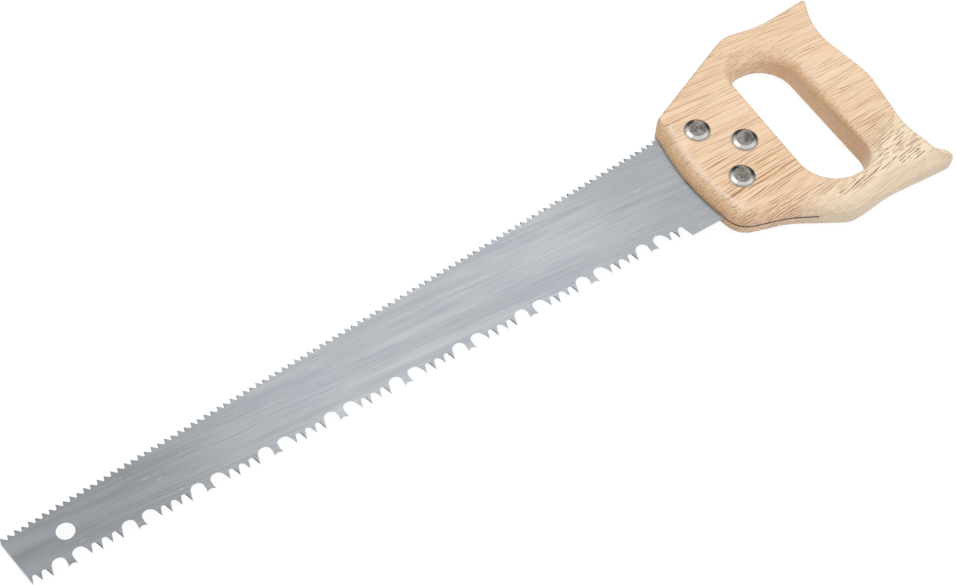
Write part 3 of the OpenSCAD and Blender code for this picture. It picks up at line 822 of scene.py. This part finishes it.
# Nuts
# Three turned nuts on the back of the handle, of the same plated steel. Each has a flat
# bevelled head with a screwdriver slot, and a bored barrel that takes the bolt's shank.
nut = Turning(
    "nut",
    {
        "Head radius": 6.5 * mm,
        "Head height": 1.8 * mm,
        "Bevel": 0.8 * mm,
        "Barrel radius": 3.3 * mm,
        "Barrel end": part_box("upper_nut")[1].z,
        "Bore radius": 2.45 * mm,
        "Handle back": -handle_half,
        "Slot width": 1.6 * mm,
        "Slot depth": 1.0 * mm,
    },
)
back = nut["Handle back"]
nut_profile = [
    (0.0, back - nut["Head height"]),
    (nut["Head radius"] - nut["Bevel"], back - nut["Head height"]),
    (nut["Head radius"], back - nut["Head height"] + nut["Bevel"]),
    (nut["Head radius"], back),
    (nut["Barrel radius"], back),
    (nut["Barrel radius"], nut["Barrel end"]),
    (nut["Bore radius"], nut["Barrel end"]),
    (nut["Bore radius"], back),
    (0.0, back),
]
turned_nut = nut.turned(nut_profile, softened=0.14 * mm, sides=64)
slot_size = nut.add(
    "ShaderNodeCombineXYZ",
    {},
    {"X": nut["Head radius"] * 3.0, "Y": nut["Slot width"], "Z": nut["Slot depth"] * 2.0},
)
slot_block = nut.add("GeometryNodeMeshCube", {}, {"Size": slot_size})
slot_at = nut.add("ShaderNodeCombineXYZ", {}, {"Z": back - nut["Head height"]})
slot_block = nut.add("GeometryNodeTransform", {}, {"Geometry": slot_block, "Translation": slot_at})
slotted = nut.add(
    "GeometryNodeMeshBoolean",
    {"operation": "DIFFERENCE", "solver": "EXACT"},
    {"Mesh 1": turned_nut, "Mesh 2": slot_block},
)
nut.finish(slotted, nickel)
nut_turns = [math.radians(turn) for turn in (20, 75, -35)]
nuts = nut.made("handle_nuts", on_axis, nut_turns)
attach(nuts, "root")
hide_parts("upper_nut", "rear_nut", "lower_nut")


# Floor
# A plain white sheet that the saw lies on. It keeps a faint shadow of the saw, and metal
# mirrors it as white.
def grey(level):
    """A grey from 0 to 1, in Blender's linear colour."""
    return (level, level, level, 1)


floor_reach = 12.0
floor_z = cad_low.z - 0.2 * mm
floor_mesh = bpy.data.meshes.new("floor")
floor_mesh.from_pydata(
    [(x * floor_reach, y * floor_reach, floor_z) for x, y in ((-1, -1), (1, -1), (1, 1), (-1, 1))],
    [],
    [(0, 1, 2, 3)],
)
floor = bpy.data.objects.new("floor", floor_mesh)
bpy.context.scene.collection.objects.link(floor)
floor_white = Finish("floor_white", Roughness=0.9, Specular_IOR_Level=0.0, Emission_Strength=1.0)
rays = ("Is Camera Ray", "Is Glossy Ray", "Is Transmission Ray")
camera_ray, glossy_ray, clear_ray = (
    floor_white.add("ShaderNodeLightPath", {}, {}, name) for name in rays
)
seen = (camera_ray + glossy_ray + clear_ray).ramp(0.0, 1.0)
floor_white.feed("Base Color", floor_white.mix(seen, grey(0.62), grey(0.16)))
floor_white.feed("Emission Color", floor_white.mix(seen, grey(0.0), grey(0.9)))
floor_mesh.materials.append(floor_white.material)


# Light
# A soft room that is bright overhead and darker towards the horizon, with a big soft lamp high
# in front of the saw and a weaker one high behind its left side.
world = bpy.data.worlds.new("room")
world.use_nodes = True
bpy.context.scene.world = world
room = Nodes(world.node_tree)
way = room.add("ShaderNodeTexCoord", {}, {}, "Generated")
way_x, way_y, way_z = (
    room.add("ShaderNodeSeparateXYZ", {}, {"Vector": way}, axis) for axis in "XYZ"
)
horizon_level = 0.05
ceiling_level = 0.95
window_level = 0.12
glow_level = 0.4
side_shade = 0.2
window = way_x.ramp(0.12, 0.62) * way_z.ramp(0.45, 0.8)
front_glow = way_y.ramp(-0.25, -0.62) * way_z.ramp(0.25, 0.5) * (1 - way_z.ramp(0.55, 0.8))
lit_side = 1 - way_x.ramp(-0.25, -0.8) * side_shade
overhead = horizon_level + way_z.ramp(0.24, 0.66) * (ceiling_level - horizon_level)
room_level = overhead * lit_side + window * window_level + front_glow * glow_level
background = world.node_tree.nodes["Background"]
background.inputs["Color"].default_value = grey(1.0)
world.node_tree.links.new(room_level.socket, background.inputs["Strength"])
saw_middle = Vector((0.25, 0, 0))
lamp_distance = 2.4
lamp_width = 1.8


def soft_lamp(name, towards, power):
    """A square lamp that shines at the middle of the saw from the given direction."""
    data = bpy.data.lights.new(name, "AREA")
    data.size = lamp_width
    data.energy = power
    lamp = bpy.data.objects.new(name, data)
    direction = Vector(towards).normalized()
    lamp.location = saw_middle + direction * lamp_distance
    lamp.rotation_mode = "QUATERNION"
    lamp.rotation_quaternion = (-direction).to_track_quat("-Z", "Y")
    bpy.context.scene.collection.objects.link(lamp)
    return lamp


front_lamp = soft_lamp("front", (0.2, -0.56, 0.8), power=12.5)
# Seen from behind, the flat blade would mirror this lamp as one white glare
front_lamp.visible_glossy = False
soft_lamp("behind", (-0.5, 0.38, 0.78), power=8)

bpy.context.scene.view_settings.view_transform = "Standard"
